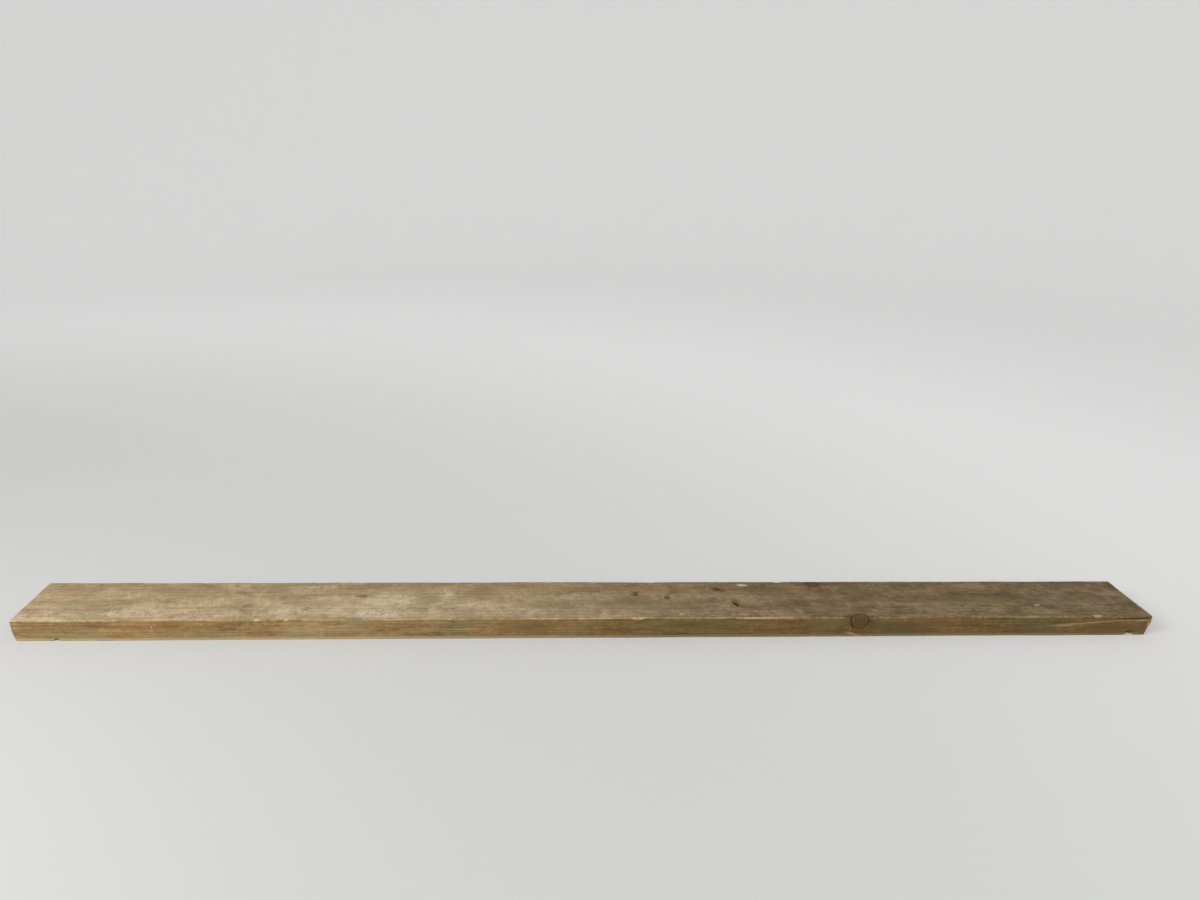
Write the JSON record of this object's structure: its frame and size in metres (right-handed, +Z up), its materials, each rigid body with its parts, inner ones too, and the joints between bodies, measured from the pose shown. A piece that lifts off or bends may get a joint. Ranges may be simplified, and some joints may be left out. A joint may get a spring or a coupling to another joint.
{
  "type": "timber plank",
  "caption": "Old sawn softwood plank: a long straight flat length of timber with worn arrises, for shelving, decking or framing.",
  "frame": {"origin": "centre of the plank's footprint, on its underside", "axes": "+X along the grain and the length, +Y across the broad face to the back edge, +Z up through the thickness"},
  "size_m": [2.25, 0.145, 0.045],
  "materials": {
    "weathered_wood": "weathered matt"
  },
  "bodies": {
    "root": {"plank": "weathered_wood"}
  },
  "joints": []
}
